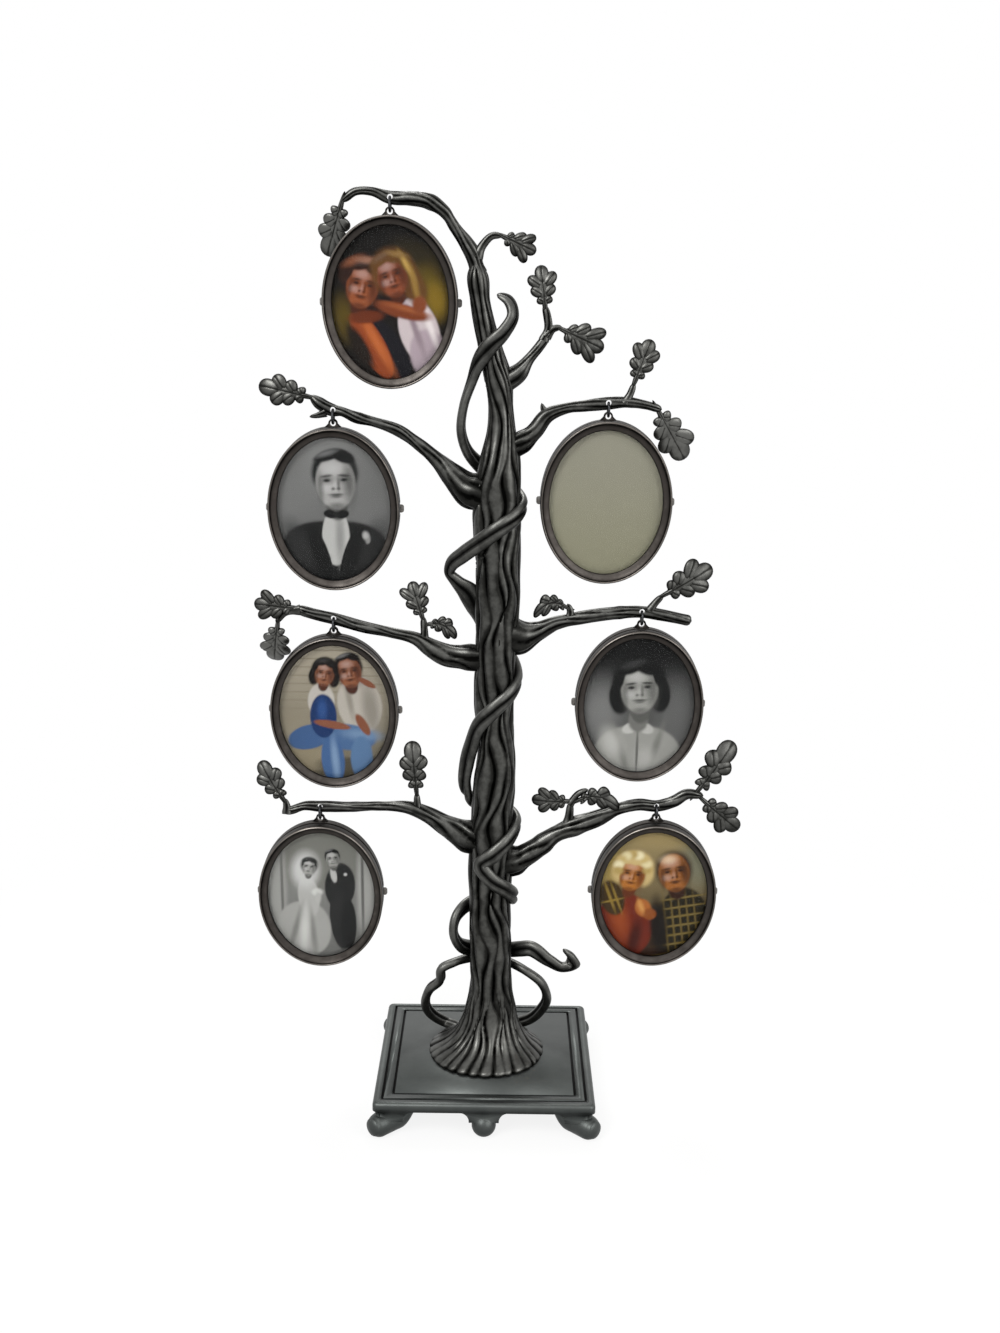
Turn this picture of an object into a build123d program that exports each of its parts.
from build123d import *

# Photo tree stand: a cast tree on a square footed base, with seven oval frames that hang on jump rings.
# Millimetres, +Z up. The table is z = 0, and the origin lies midway between the outermost leaf tips.
# Tree places are written as (x, height): x from the trunk's axis, height above the top of the plate.

import os
from math import cos, pi, radians, sin

# Whole object
TRUNK_AXIS_X = -3.3       # the trunk stands this far from the middle of the leaf span

# Base plate
PLATE_SIDE = 76.2
PLATE_TOP = 13.0          # height of the plate's top above the table
PLATE_THICKNESS = 3.2
PLATE_EDGE_RADIUS = 1.4
PLATE_CORNER_RADIUS = 2.0
BORDER_INSETS = (2.8, 6.4)
BORDER_WIDTH = 0.8
BORDER_DEPTH = 0.5
APRON_INSET = 0.8
APRON_WALL = 2.6
APRON_DEPTH = 4.0
ARCH_WIDTH = 22.5
ARCH_HEIGHT = 3.6
ARCH_RADIUS = 3.2
ARCH_OFFSET = 16.4        # from the middle of a side to the middle of an arch
BALL_RADIUS = 4.2
BALL_OVERHANG = 0.9       # a mid-side ball stands this far past the plate's edge
TOE_LENGTH = 12.0
TOE_RADIUS = 4.0
TOE_OVERHANG = 1.7        # a corner toe stands this far past the plate's edge
FOOT_FLAT = 0.3           # each foot is cut flat by this much

# Trunk: (height, centre x, ridge radius) from the root flare to the fork
TRUNK_STATIONS = (
    (0.0, 0.3, 20.0),
    (4.5, 0.8, 14.0),
    (10.0, 1.4, 10.4),
    (18.0, 1.8, 8.5),
    (39.0, 1.5, 7.3),
    (59.0, 1.0, 7.6),
    (77.0, 1.2, 7.9),
    (97.0, 1.8, 7.6),
    (115.0, 2.6, 6.8),
    (133.0, 1.6, 6.9),
    (152.0, 2.2, 7.2),
    (181.0, 2.4, 7.7),
    (199.0, 1.8, 7.8),
    (214.0, 2.6, 7.0),
    (224.0, 3.0, 4.9),
    (231.0, 2.8, 4.2),
    (243.0, 1.4, 4.7),
    (251.0, -0.9, 4.1),
    (266.0, -4.4, 3.3),
    (278.0, -5.7, 2.5),
)
FLUTES = 10
FLUTE_DEPTH = 0.16        # depth of a bark groove, as a share of the trunk's radius there
FLUTE_SWING = 9.0         # degrees that the grooves wander to each side
FLUTE_WAVE = 64.0         # height of one full wander

# Branch pegs and the trunk screw
PEG_RADIUS = 1.6
SMALL_PEG_RADIUS = 1.0     # for the two branches where the trunk is thin
PEG_CLEARANCE = 0.05
SCREW_RADIUS = 2.5
SCREW_DEPTH = 14.0        # reach of the screw above the plate
SCREW_HEAD_RADIUS = 4.4
SCREW_HEAD_HEIGHT = 2.6
SCREW_SLOT_WIDTH = 1.0
SCREW_SLOT_DEPTH = 1.2
SCREW_CLEARANCE = 0.2
WASHER_RADIUS = 7.0
WASHER_THICKNESS = 1.0

# Jump rings and eyes
RING_RADIUS = 2.2         # to the middle of the wire
WIRE_RADIUS = 0.45
WIRE_SIDES = 8
EYE_HOLE_RADIUS = 0.95
EYE_DRILL = 20.0          # length of an eye's drill, more than a limb is thick
EYE_ABOVE = 1.9           # branch metal above an eye's centre
EYE_HALF_THICKNESS = 1.0
EAR_WEB = 0.6             # metal round the hole of a frame's ear
EAR_THICKNESS = 1.0
EAR_RISE = 1.0            # ear hole above the frame's rim
EAR_SET_IN = 0.75         # rear of the ear in front of the frame's rear
EAR_GAP = 0.65            # free height between ear and branch inside a ring
EAR_FOOT = 4.2            # half width of an ear where it meets the rim
EAR_HOLLOW = 0.8          # depth of a flank's middle below the hole, as a share of the rise

# Oval frames
FRAME_WIDTH = 44.0
FRAME_HEIGHT = 54.6
FRAME_DEPTH = 7.0
FRAME_LEAN = 4.5          # degrees that a hanging frame faces downward
RIM_LAND = 0.9            # crest of the bezel
EDGE_EASE = 0.4           # bevel of the front edge
BEZEL_WIDTH = 3.1         # from the outer edge to the opening
BEZEL_DROP = 1.7
COVE_SAG = 0.35
WINDOW_LIP = 0.7          # thickness of the lip that the lens sits behind
RIM_WALL = 1.7            # wall round the cavity
WALL_GROOVE_WIDTH = 0.9
WALL_GROOVE_DEPTH = 0.5
WALL_GROOVE_FROM_REAR = 3.0
LENS_THICKNESS = 1.0
PHOTO_THICKNESS = 0.3
BACK_PLATE = 1.0
BACK_WALL = 1.2
INNER_CLEARANCE = 0.15    # round the lens, photo and back
TAB_HEIGHT = 3.6
TAB_REACH = 1.2           # a back tab stands this far out of the rim
TAB_DEPTH = 1.8
TAB_CLEARANCE = 0.2

# Vine
VINE_RADIUS = 2.0
RUNNER_RADIUS = 1.8
STEM_RIDGES = 10
VINE_REST = 0.3           # free height of the runner's ends over the plate

# Limbs
LIMB_RIDGES = 10
LIMB_FLATNESS = 0.85      # thickness of a limb as a share of its height
LIMB_ANGLES = [2 * pi * i / LIMB_RIDGES for i in range(LIMB_RIDGES)]

# Oak leaves
LEAF_THICKNESS = 1.3
STALK_RADIUS = 0.8        # half width of a leaf's stalk
STALK_LENGTH = 0.5        # reach of the stalk, as a share of the leaf's length
LOBES = ((0.22, 0.82), (0.48, 0.95))  # (start along the leaf, reach as a share of its half width)
LOBE_ANGLE = 55.0
LOBE_WIDTH = 0.22         # as a share of the leaf's length
LEAF_MIDDLE = 0.42        # width of the middle and the tip, as a share of the leaf's width
MIDDLE_LENGTH = 0.8       # reach of the middle from the tip, as a share of the leaf's length

# Hang points of the frames: name -> (x, height) of the branch eye
HANG = {
    "top": (-33.5, 297.7),
    "upper_left": (-52.6, 230.5),
    "upper_right": (38.2, 233.9),
    "middle_left": (-53.3, 160.5),
    "middle_right": (51.6, 164.2),
    "lower_left": (-58.9, 93.3),
    "lower_right": (59.1, 95.0),
}


def place(x, height, y=0.0):
    """A point of the tree from its place beside the trunk's axis and above the plate."""
    return Vector(TRUNK_AXIS_X + x, y, PLATE_TOP + height)


def save(name, shape):
    """Write one sub-part."""
    export_step(shape, os.path.join("parts", name + ".step"))


# Base

def square_band(inset, width):
    """A flat square frame of the given width, whose outside lies inset from the plate's edge."""
    outer = PLATE_SIDE - 2 * inset
    return RectangleRounded(outer, outer, PLATE_CORNER_RADIUS) - Rectangle(outer - 2 * width, outer - 2 * width)


def corner_toe():
    """A corner foot: a toe with a round end that points outward along the plate's diagonal."""
    length = TOE_LENGTH - TOE_RADIUS
    toe = Rot(0, 90, 0) * Cylinder(TOE_RADIUS, length, align=(Align.CENTER, Align.CENTER, Align.MAX))
    toe += Sphere(TOE_RADIUS)
    end = PLATE_SIDE / 2 + TOE_OVERHANG - TOE_RADIUS
    return Pos(end, end, TOE_RADIUS - FOOT_FLAT) * Rot(0, 0, 45) * toe


def mid_ball():
    """A mid-side foot."""
    middle = PLATE_SIDE / 2 + BALL_OVERHANG - BALL_RADIUS
    return Pos(middle, 0, BALL_RADIUS - FOOT_FLAT) * Sphere(BALL_RADIUS)


def base_plate():
    """The footed plate, hollow underneath, with arches between its feet."""
    slab = extrude(RectangleRounded(PLATE_SIDE, PLATE_SIDE, PLATE_CORNER_RADIUS), PLATE_THICKNESS)
    slab = fillet(slab.faces().sort_by(Axis.Z)[-1].edges(), PLATE_EDGE_RADIUS)
    for inset in BORDER_INSETS:
        groove = extrude(square_band(inset, BORDER_WIDTH), BORDER_DEPTH)
        slab -= Pos(0, 0, PLATE_THICKNESS - BORDER_DEPTH) * groove
    apron = Pos(0, 0, -APRON_DEPTH) * extrude(square_band(APRON_INSET, APRON_WALL), APRON_DEPTH)
    arch = Plane.XZ * RectangleRounded(ARCH_WIDTH, 2 * ARCH_HEIGHT, ARCH_RADIUS)
    arch = extrude(arch, PLATE_SIDE, both=True)
    for offset in (-ARCH_OFFSET, ARCH_OFFSET):
        for turn in (0, 90):
            apron -= Rot(0, 0, turn) * Pos(offset, 0, -APRON_DEPTH) * arch
    plate = Pos(0, 0, PLATE_TOP - PLATE_THICKNESS) * (slab + apron)
    below = Pos(0, 0, -PLATE_TOP) * Box(2 * PLATE_SIDE, 2 * PLATE_SIDE, 2 * PLATE_TOP)
    for foot in (corner_toe() - below, mid_ball() - below):
        for turn in range(0, 360, 90):
            plate += Rot(0, 0, turn) * foot
    trunk_x = TRUNK_STATIONS[0][1]
    plate -= Pos(trunk_x, 0, PLATE_TOP) * Cylinder(SCREW_RADIUS + SCREW_CLEARANCE, 3 * PLATE_THICKNESS)
    return Pos(TRUNK_AXIS_X, 0, 0) * plate


def trunk_screw():
    """The slotted screw that holds the trunk from below."""
    seat = PLATE_TOP - PLATE_THICKNESS - WASHER_THICKNESS
    tip = PLATE_TOP + SCREW_DEPTH
    centred = (Align.CENTER, Align.CENTER, Align.MIN)
    screw = Pos(0, 0, seat) * Cylinder(SCREW_RADIUS, tip - seat, align=centred)
    screw += Pos(0, 0, seat - SCREW_HEAD_HEIGHT) * Cylinder(SCREW_HEAD_RADIUS, SCREW_HEAD_HEIGHT, align=centred)
    slot = Box(2 * SCREW_HEAD_RADIUS, SCREW_SLOT_WIDTH, 2 * SCREW_SLOT_DEPTH)
    screw -= Pos(0, 0, seat - SCREW_HEAD_HEIGHT) * slot
    return Pos(TRUNK_AXIS_X + TRUNK_STATIONS[0][1], 0, 0) * screw


def trunk_washer():
    """The washer between the plate and the screw's head."""
    washer = Cylinder(WASHER_RADIUS, WASHER_THICKNESS) - Cylinder(SCREW_RADIUS + SCREW_CLEARANCE, PLATE_TOP)
    middle = PLATE_TOP - PLATE_THICKNESS - WASHER_THICKNESS / 2
    return Pos(TRUNK_AXIS_X + TRUNK_STATIONS[0][1], 0, middle) * washer


# Trunk

def trunk_at(height):
    """Centre x and ridge radius of the trunk at a height, between its stations."""
    for low, high in zip(TRUNK_STATIONS, TRUNK_STATIONS[1:]):
        if height <= high[0]:
            share = max(0.0, (height - low[0]) / (high[0] - low[0]))
            return low[1] + share * (high[1] - low[1]), low[2] + share * (high[2] - low[2])
    return TRUNK_STATIONS[-1][1:]


def trunk_section(height, centre, radius):
    """One fluted cross-section, whose grooves wander with height."""
    wander = radians(FLUTE_SWING) * sin(2 * pi * height / FLUTE_WAVE)
    points = []
    for i in range(2 * FLUTES):
        angle = pi * i / FLUTES + wander
        reach = radius if i % 2 == 0 else radius * (1 - FLUTE_DEPTH)
        points.append(place(centre + reach * cos(angle), height, reach * sin(angle)))
    return make_face(Polyline(*points, close=True))


def trunk_body():
    """The fluted trunk without its sockets."""
    return loft([trunk_section(*station) for station in TRUNK_STATIONS], ruled=True)


# Branches

def limb(stations, flat_at=None):
    """A tapering limb through (x, height, half height) stations, flattened where it has an eye."""
    sections = []
    for i, (x, height, half) in enumerate(stations):
        before = stations[max(i - 1, 0)]
        after = stations[min(i + 1, len(stations) - 1)]
        along = Vector(after[0] - before[0], 0, after[1] - before[1])
        thick = EYE_HALF_THICKNESS if i == flat_at else LIMB_FLATNESS * half
        corners = [(thick * cos(angle), half * sin(angle)) for angle in LIMB_ANGLES]
        plane = Plane(origin=place(x, height), x_dir=(0, 1, 0), z_dir=along)
        sections.append(plane * make_face(Polyline(*corners, close=True)))
    return loft(sections, ruled=True)


def eye_station(name):
    """The limb's station at an eye: its hole, and the metal that the ring leaves room for."""
    x, height = HANG[name]
    below = 2 * RING_RADIUS - EYE_HOLE_RADIUS - EAR_WEB - EAR_GAP
    return (x, height + (EYE_ABOVE - below) / 2, (EYE_ABOVE + below) / 2)


def eye_hole(name):
    """The hole through a limb that a ring hangs in."""
    x, height = HANG[name]
    return Pos(place(x, height)) * Rot(90, 0, 0) * Cylinder(EYE_HOLE_RADIUS, EYE_DRILL)


def oak_outline(length, width):
    """An oak leaf's outline along +X: a stalk, a long middle and two rounded lobes a side."""
    stalk = STALK_LENGTH * length
    middle = MIDDLE_LENGTH * length
    outline = Pos(stalk / 2, 0) * Rectangle(stalk, 2 * STALK_RADIUS)
    outline += Pos(length - middle / 2, 0) * SlotOverall(middle, LEAF_MIDDLE * width)
    thick = LOBE_WIDTH * length
    for start, share in LOBES:
        reach = share * width / 2 / sin(radians(LOBE_ANGLE))
        lobe = Pos((reach - thick / 2) / 2, 0) * SlotOverall(reach + thick / 2, thick)
        for side in (-1, 1):
            outline += Pos(start * length, 0) * Rot(0, 0, side * LOBE_ANGLE) * lobe
    return outline


def leaf(base, tip, width, back):
    """A leaf from its stalk to its tip, in the tree's plane, bent back by so many millimetres at the tip."""
    start = place(*base)
    end = place(tip[0], tip[1], back)
    along = end - start
    side = Vector(0, 1, 0).cross(along)
    plane = Plane(origin=start, x_dir=along, z_dir=along.cross(side))
    blade = extrude(oak_outline(along.length, width), LEAF_THICKNESS / 2, both=True)
    return plane * blade


BRANCHES = {
    "branch_top": {
        "peg": SMALL_PEG_RADIUS,
        "limb": [(-5.1, 274.5, 1.7), (-7.2, 281.0, 2.3), (-12.7, 288.6, 1.8), (-16.2, 293.6, 2.0),
                 (-20.5, 296.3, 2.3), (-27.0, 297.3, 2.2), "top",
                 (-39.5, 299.3, 1.4), (-44.5, 299.2, 1.3), (-48.8, 296.2, 1.3)],
        "twigs": [[(-5.6, 279.5, 1.7), (-3.6, 283.4, 1.4), (-0.6, 286.2, 1.2), (2.6, 286.2, 1.1)]],
        "leaves": [((-48.2, 297.4), (-54.5, 279.7), 10.5, 9.0), ((1.6, 286.6), (13.4, 281.2), 9.5, -1.0)],
    },
    "branch_spray": {
        "peg": SMALL_PEG_RADIUS,
        "limb": [(2.5, 239.4, 3.6), (8.6, 243.4, 3.0), (11.6, 247.4, 1.8), (15.0, 251.6, 1.6), (18.0, 255.9, 1.6)],
        "twigs": [[(16.4, 253.6, 1.4), (17.9, 257.5, 1.4), (17.4, 261.5, 1.3), (16.4, 265.0, 1.1)],
                  [(17.2, 254.8, 1.4), (19.6, 257.4, 1.2), (22.4, 258.0, 1.1)]],
        "leaves": [((16.9, 262.5), (15.0, 277.4), 10.0, 1.0), ((21.0, 257.8), (36.0, 251.0), 12.5, 0.0)],
    },
    "branch_upper_left": {
        "peg": PEG_RADIUS,
        "limb": [(0.0, 203.0, 6.4), (-7.6, 205.0, 5.4), (-13.0, 209.5, 4.0), (-18.0, 214.4, 2.6),
                 (-24.2, 219.5, 2.1), (-31.0, 224.0, 2.0), (-38.5, 226.6, 1.6), (-45.5, 228.0, 2.0),
                 "upper_left", (-57.0, 232.6, 1.9), (-60.0, 235.0, 1.4)],
        "twigs": [[(-53.0, 229.6, 1.6), (-56.8, 228.6, 1.2), (-60.4, 228.1, 0.5)]],
        "leaves": [((-58.5, 234.2), (-77.0, 238.2), 9.5, 1.0)],
    },
    "branch_upper_right": {
        "peg": PEG_RADIUS,
        "limb": [(4.0, 217.0, 4.0), (9.6, 220.6, 3.4), (14.0, 224.4, 2.8), (17.8, 229.4, 2.5),
                 (24.0, 231.9, 1.8), (31.0, 232.9, 1.9), "upper_right",
                 (44.5, 234.2, 1.7), (50.5, 233.3, 1.45), (55.8, 231.9, 1.3)],
        "twigs": [[(18.6, 229.6, 1.7), (16.8, 231.6, 1.1), (16.1, 233.6, 0.5)],
                  [(43.6, 233.8, 1.4), (45.2, 236.8, 1.2), (46.4, 240.4, 1.1)]],
        "leaves": [((46.0, 239.4), (51.6, 254.4), 9.5, 1.0), ((53.6, 233.2), (65.0, 215.0), 12.0, 6.0)],
    },
    "branch_middle_left": {
        "peg": PEG_RADIUS,
        "limb": [(0.0, 147.2, 4.6), (-8.5, 147.5, 4.0), (-14.8, 148.2, 3.9), (-19.6, 150.3, 3.3),
                 (-25.0, 153.6, 2.3), (-34.0, 155.8, 1.8), (-43.0, 157.6, 2.0),
                 "middle_left", (-60.5, 162.0, 1.9), (-66.5, 163.8, 1.5)],
        "twigs": [[(-22.2, 151.5, 1.6), (-22.4, 156.5, 1.3), (-22.8, 161.5, 1.1)],
                  [(-64.6, 163.2, 1.5), (-69.8, 162.2, 1.3), (-73.0, 158.6, 1.1)]],
        "leaves": [((-65.0, 163.8), (-80.4, 165.2), 10.0, 1.0), ((-72.2, 159.8), (-75.4, 143.0), 10.0, 9.0),
                   ((-22.7, 160.0), (-26.8, 173.4), 9.5, 1.0), ((-22.4, 159.4), (-11.2, 156.0), 7.0, -1.5)],
    },
    "branch_middle_right": {
        "peg": PEG_RADIUS,
        "limb": [(3.0, 155.0, 6.6), (11.5, 155.2, 5.2), (16.4, 157.0, 3.4), (22.0, 159.6, 2.5),
                 (30.0, 161.6, 2.3), (41.0, 163.4, 2.2), "middle_right", (57.5, 163.2, 1.9), (68.6, 161.1, 1.3)],
        "twigs": [[(50.0, 164.2, 1.7), (54.6, 166.6, 1.3), (58.6, 170.0, 1.1)],
                  [(27.0, 161.0, 1.5), (27.2, 164.0, 1.2), (26.2, 166.6, 1.1)]],
        "leaves": [((57.4, 169.2), (74.8, 179.8), 12.0, 1.0), ((27.4, 165.6), (15.2, 165.4), 7.0, -1.5)],
    },
    "branch_lower_left": {
        "peg": PEG_RADIUS,
        "limb": [(0.0, 80.5, 6.0), (-8.8, 83.6, 5.2), (-15.0, 86.8, 3.7), (-20.8, 90.4, 2.9),
                 (-27.0, 92.9, 2.4), (-38.0, 93.5, 1.6), (-48.5, 93.1, 1.8),
                 "lower_left", (-64.5, 93.2, 1.7), (-69.0, 91.6, 1.5), (-72.0, 90.9, 1.6)],
        "twigs": [[(-24.8, 92.0, 1.7), (-24.9, 95.2, 1.3), (-25.0, 98.6, 1.1)],
                  [(-70.6, 90.6, 1.5), (-70.7, 93.2, 1.3), (-71.4, 96.0, 1.1)]],
        "leaves": [((-70.8, 94.0), (-79.2, 109.4), 10.0, 1.0), ((-24.9, 97.0), (-27.0, 117.6), 10.5, 1.0)],
    },
    "branch_lower_right": {
        "peg": PEG_RADIUS,
        "limb": [(3.0, 72.0, 6.0), (12.0, 75.2, 4.6), (18.0, 79.2, 3.5), (24.0, 84.0, 3.0), (31.0, 87.2, 3.3),
                 (38.5, 90.0, 3.0), (46.0, 93.7, 2.1), (53.0, 95.3, 2.1), "lower_right",
                 (65.4, 96.8, 2.1), (69.4, 99.3, 1.9), (75.4, 98.8, 1.5)],
        "twigs": [[(28.2, 87.5, 1.8), (28.6, 91.5, 1.5), (28.9, 96.0, 1.2)],
                  [(28.6, 95.0, 1.2), (31.5, 99.0, 1.1), (35.0, 100.6, 1.0)]],
        "leaves": [((29.4, 96.2), (15.2, 97.2), 9.0, -1.0), ((30.4, 98.0), (46.0, 96.6), 7.5, -1.5),
                   ((72.0, 98.9), (84.8, 118.8), 11.5, 1.0), ((73.8, 98.6), (88.4, 86.2), 10.5, 1.0)],
    },
}

# Vine: (angle round the trunk, height, distance of the stem's middle from the trunk), from its tip downward.
# An angle of 0 is on the right, -90 in front, -180 on the left and -270 behind; at height 75 the stem turns back.
VINE_ROUTE = (
    (-20, 268.0, 2.9), (-16, 266.2, 6.2), (-24, 261.5, 7.0), (-42, 256.4, 4.0),
    (-90, 251.6, 1.2), (-150, 246.6, 1.3), (-176, 240.0, 4.2), (-180, 232.0, 8.0),
    (-184, 224.0, 8.4), (-196, 217.5, 5.2), (-225, 212.0, 1.6), (-270, 207.0, 0.9),
    (-315, 203.0, 0.9), (-360, 200.0, 0.9), (-405, 196.5, 0.9), (-450, 192.5, 0.9),
    (-495, 187.5, 1.4), (-525, 182.5, 5.0), (-540, 176.5, 8.2), (-548, 169.0, 5.6),
    (-565, 161.0, 2.0), (-600, 154.5, 0.9), (-640, 149.5, 0.9), (-680, 144.5, 0.9),
    (-720, 140.0, 0.9), (-765, 136.0, 0.9), (-810, 131.0, 0.9), (-855, 124.5, 1.2),
    (-880, 117.0, 2.2), (-900, 110.0, 2.9), (-905, 102.0, 3.2), (-925, 96.0, 1.6),
    (-970, 92.5, 0.9), (-1020, 90.5, 0.9), (-1080, 88.3, 0.9), (-1125, 84.0, 0.9),
    (-1165, 79.0, 1.0), (-1192, 75.0, 1.0), (-1172, 70.5, 1.0), (-1130, 65.5, 0.9),
    (-1080, 60.5, 0.9), (-1035, 58.0, 0.9), (-990, 56.6, 0.9), (-945, 55.6, 1.2),
    (-918, 54.4, 2.6), (-905, 51.5, 4.8), (-901, 46.5, 5.8), (-909, 41.2, 4.2),
    (-940, 37.8, 1.6), (-990, 37.0, 0.9), (-1040, 37.5, 1.2), (-1065, 39.0, 3.6),
    (-1076, 40.0, 6.9), (-1080, 35.9, 13.4), (-1079, 33.2, 18.4), (-1080, 34.6, 21.9),
    (-1081, 37.8, 21.6), (-1080, 40.4, 18.7),
)
# Runner: (x, height, y) from one end on the plate, up and round the back of the trunk, to the other end.
RUNNER_ROUTE = (
    (-15.0, RUNNER_RADIUS + VINE_REST, 18.5), (-20.0, 6.5, 15.5), (-22.4, 14.0, 10.0), (-20.5, 21.5, 6.0),
    (-16.6, 26.5, 3.5), (-16.2, 31.0, 2.5), (-12.0, 33.0, 3.5), (-6.0, 33.4, 7.0),
    (1.0, 32.8, 9.6), (8.0, 32.0, 7.0), (14.0, 30.6, 3.0), (19.6, 26.5, 2.5),
    (22.2, 19.5, 5.5), (20.5, 11.5, 11.0), (16.0, 4.8, 16.0), (10.5, RUNNER_RADIUS + VINE_REST, 18.5),
)


def branch_stations(name):
    """A branch's stations, with its eye in place, and the eye's index."""
    stations = []
    eye = None
    for station in BRANCHES[name]["limb"]:
        if isinstance(station, str):
            eye = len(stations)
            station = eye_station(station)
        stations.append(station)
    return stations, eye


def branch_peg(name, clearance=0.0):
    """The peg of a branch, from outside the trunk to its first station, or with a clearance its socket."""
    inner, outer = branch_stations(name)[0][:2]
    start, end = place(*outer[:2]), place(*inner[:2])
    along = end - start
    plane = Plane(origin=start, z_dir=along)
    radius = BRANCHES[name]["peg"] + clearance
    return plane * extrude(Circle(radius), along.length + clearance)


def branch(name, trunk):
    """One branch casting: limb, twigs and leaves, seated on the trunk and pegged into it."""
    spec = BRANCHES[name]
    stations, eye = branch_stations(name)
    solid = limb(stations, eye)
    for piece in [limb(twig) for twig in spec["twigs"]] + [leaf(*shape) for shape in spec["leaves"]]:
        solid += piece
    solid -= trunk
    solid += branch_peg(name)
    if eye is not None:
        solid -= eye_hole(spec["limb"][eye])
    return solid


def stem(points, radius):
    """A ridged stem in short straight spans with mitred joints."""
    path = Polyline(*points)
    section = Plane(origin=path @ 0, z_dir=path % 0) * RegularPolygon(radius, STEM_RIDGES)
    return sweep(section, path=path, transition=Transition.RIGHT)


def vine_point(angle, height, away):
    """A point of the vine from its place round the trunk."""
    centre, radius = trunk_at(height)
    reach = radius + away
    return place(centre + reach * cos(radians(angle)), height, reach * sin(radians(angle)))


def vine(trunk):
    """The climbing stem, let into the trunk where the two meet."""
    return stem([vine_point(*stop) for stop in VINE_ROUTE], VINE_RADIUS) - trunk


def runner(trunk):
    """The low stem that rises from the plate on the left, passes behind the trunk and ends on the right."""
    return stem([place(x, height, y) for x, height, y in RUNNER_ROUTE], RUNNER_RADIUS) - trunk


# Frames: made about the ear's hole, with +Y up the frame and +Z out of its front

FRAME_REAR = -EAR_THICKNESS / 2 - EAR_SET_IN
FRAME_FRONT = FRAME_REAR + FRAME_DEPTH
FRAME_MIDDLE = -(EAR_RISE + FRAME_HEIGHT / 2)
LEDGE = FRAME_FRONT - BEZEL_DROP - WINDOW_LIP
PHOTO_FRONT = LEDGE - LENS_THICKNESS
PHOTO_REAR = PHOTO_FRONT - PHOTO_THICKNESS


def oval(inset, level):
    """The frame's oval, moved in by inset, at a level along its depth."""
    return Pos(0, FRAME_MIDDLE, level) * Ellipse(FRAME_WIDTH / 2 - inset, FRAME_HEIGHT / 2 - inset)


def oval_slab(inset, low, high):
    """An oval slab between two levels."""
    return extrude(oval(inset, low), high - low)


def ear():
    """The pierced ear on the rear rim, with hollow flanks."""
    eye = EYE_HOLE_RADIUS + EAR_WEB
    foot = -EAR_RISE - RIM_WALL / 2
    left = ThreePointArc((-EAR_FOOT, foot), (-EAR_FOOT / 2, -EAR_HOLLOW * EAR_RISE), (-eye, 0))
    right = mirror(left, Plane.YZ)
    top = ThreePointArc((-eye, 0), (0, eye), (eye, 0))
    outline = make_face([left, top, right, Line((EAR_FOOT, foot), (-EAR_FOOT, foot))])
    return extrude(outline, EAR_THICKNESS / 2, both=True)


def tabs(clearance=0.0):
    """The two side tabs of a back, or with a clearance the notches for them."""
    inner = FRAME_WIDTH / 2 - RIM_WALL - INNER_CLEARANCE - BACK_WALL / 2
    outer = FRAME_WIDTH / 2 + TAB_REACH
    length = outer - inner + clearance
    height = TAB_HEIGHT + 2 * clearance
    depth = TAB_DEPTH + clearance
    block = Box(length, height, depth, align=(Align.MIN, Align.CENTER, Align.MIN))
    block = Pos(inner, FRAME_MIDDLE, FRAME_REAR) * block
    return block + mirror(block, Plane.YZ)


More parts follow.
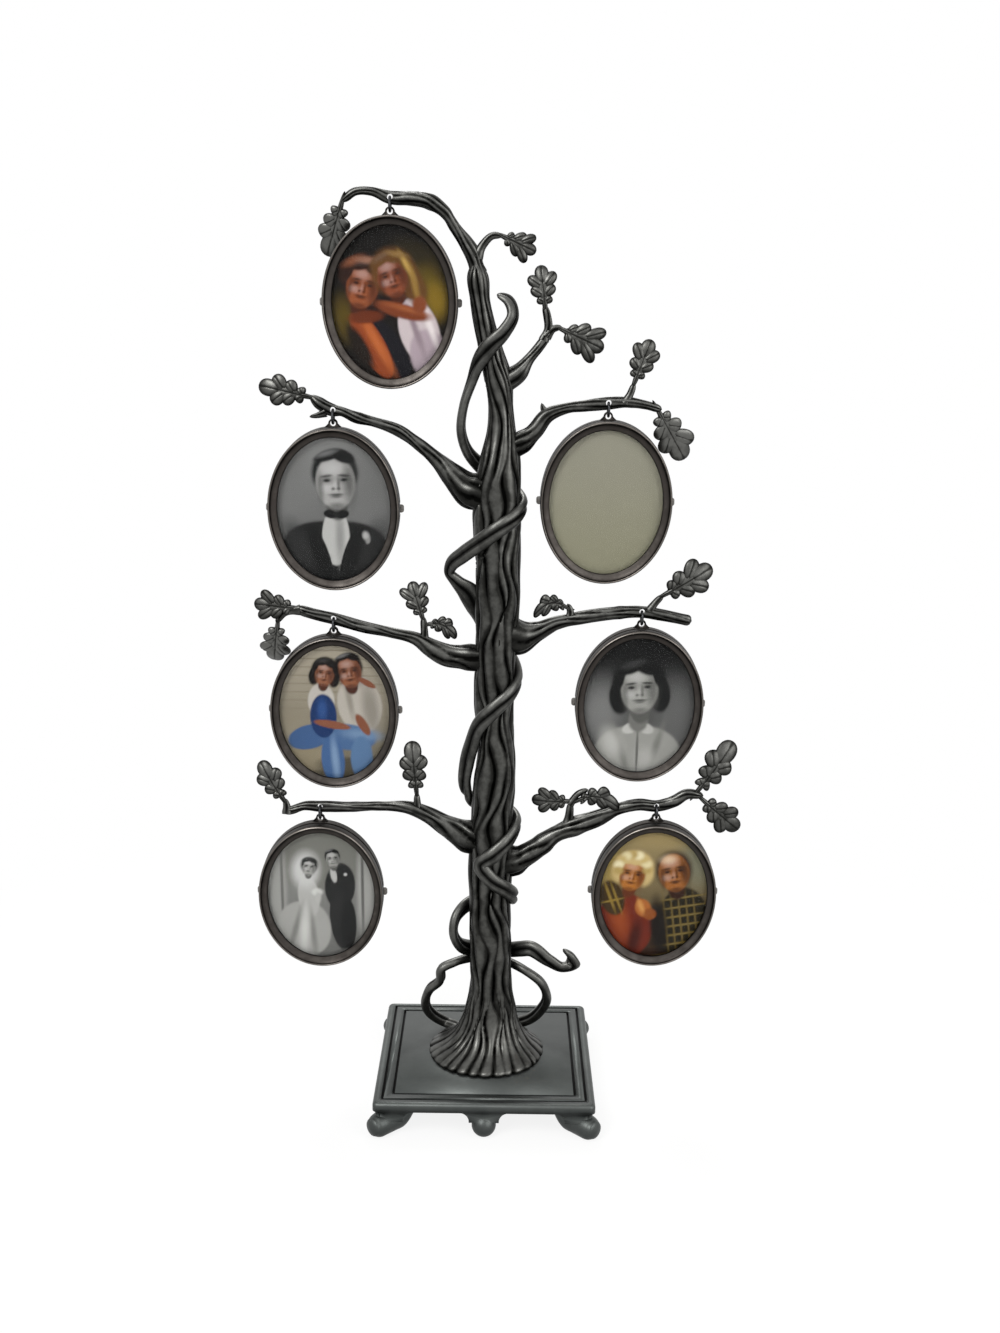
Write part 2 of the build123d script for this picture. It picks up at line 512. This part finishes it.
def frame_casting():
    """The oval frame: grooved wall, coved bezel, lens ledge, cavity, notches and ear."""
    body = oval_slab(0, FRAME_REAR, FRAME_FRONT - EDGE_EASE)
    body += loft([oval(0, FRAME_FRONT - EDGE_EASE), oval(EDGE_EASE, FRAME_FRONT)], ruled=True)
    low = FRAME_REAR + WALL_GROOVE_FROM_REAR
    high = low + WALL_GROOVE_WIDTH
    body -= oval_slab(-WALL_GROOVE_DEPTH, low, high) - oval_slab(WALL_GROOVE_DEPTH, low, high)
    half_way = oval((RIM_LAND + BEZEL_WIDTH) / 2, FRAME_FRONT - BEZEL_DROP / 2 - COVE_SAG)
    body -= loft([oval(RIM_LAND, FRAME_FRONT), half_way, oval(BEZEL_WIDTH, FRAME_FRONT - BEZEL_DROP)], ruled=True)
    body -= oval_slab(BEZEL_WIDTH, FRAME_REAR, FRAME_FRONT)
    body -= oval_slab(RIM_WALL, FRAME_REAR, LEDGE)
    body += ear()
    body -= tabs(TAB_CLEARANCE)
    return body - Cylinder(EYE_HOLE_RADIUS, 2 * FRAME_DEPTH)


def frame_back():
    """The back cover: a tray that presses on the insert, with two side tabs."""
    inset = RIM_WALL + INNER_CLEARANCE
    tray = oval_slab(inset, FRAME_REAR, PHOTO_REAR)
    tray -= oval_slab(inset + BACK_WALL, FRAME_REAR, PHOTO_REAR - BACK_PLATE)
    return tray + tabs()


def jump_ring():
    """A closed ring of eight-sided wire in the fore-and-aft plane."""
    wire = Plane.XZ * Pos(RING_RADIUS, 0) * RegularPolygon(WIRE_RADIUS, WIRE_SIDES)
    return Rot(0, 90, 0) * revolve(wire, Axis.Z)


def hung(name):
    """The plane of a hanging frame: at its ear's hole, leaning so that its weight hangs below the hole."""
    x, height = HANG[name]
    lean = radians(FRAME_LEAN)
    return Plane(
        origin=place(x, height - 2 * RING_RADIUS),
        x_dir=(1, 0, 0),
        z_dir=(0, -cos(lean), -sin(lean)),
    )


def main():
    """Build and write every sub-part."""
    os.makedirs("parts", exist_ok=True)
    save("base_plate", base_plate())
    save("trunk_screw", trunk_screw())
    save("trunk_washer", trunk_washer())

    body = trunk_body()
    for name in BRANCHES:
        save(name, branch(name, body))
    save("vine", vine(body))
    save("vine_runner", runner(body))
    for name in BRANCHES:
        body -= branch_peg(name, PEG_CLEARANCE)
    screw_hole = Cylinder(SCREW_RADIUS + SCREW_CLEARANCE, 2 * (SCREW_DEPTH + SCREW_CLEARANCE))
    save("trunk", body - Pos(place(TRUNK_STATIONS[0][1], 0)) * screw_hole)

    casting = frame_casting()
    inset = RIM_WALL + INNER_CLEARANCE
    lens = oval_slab(inset, PHOTO_FRONT, LEDGE)
    photo = oval_slab(inset, PHOTO_REAR, PHOTO_FRONT)
    back = frame_back()
    for name, (x, height) in HANG.items():
        save("ring_" + name, Pos(place(x, height - RING_RADIUS)) * jump_ring())
        plane = hung(name)
        save("frame_" + name, plane * casting)
        save("lens_" + name, plane * lens)
        save("photo_" + name, plane * photo)
        save("back_" + name, plane * back)


main()
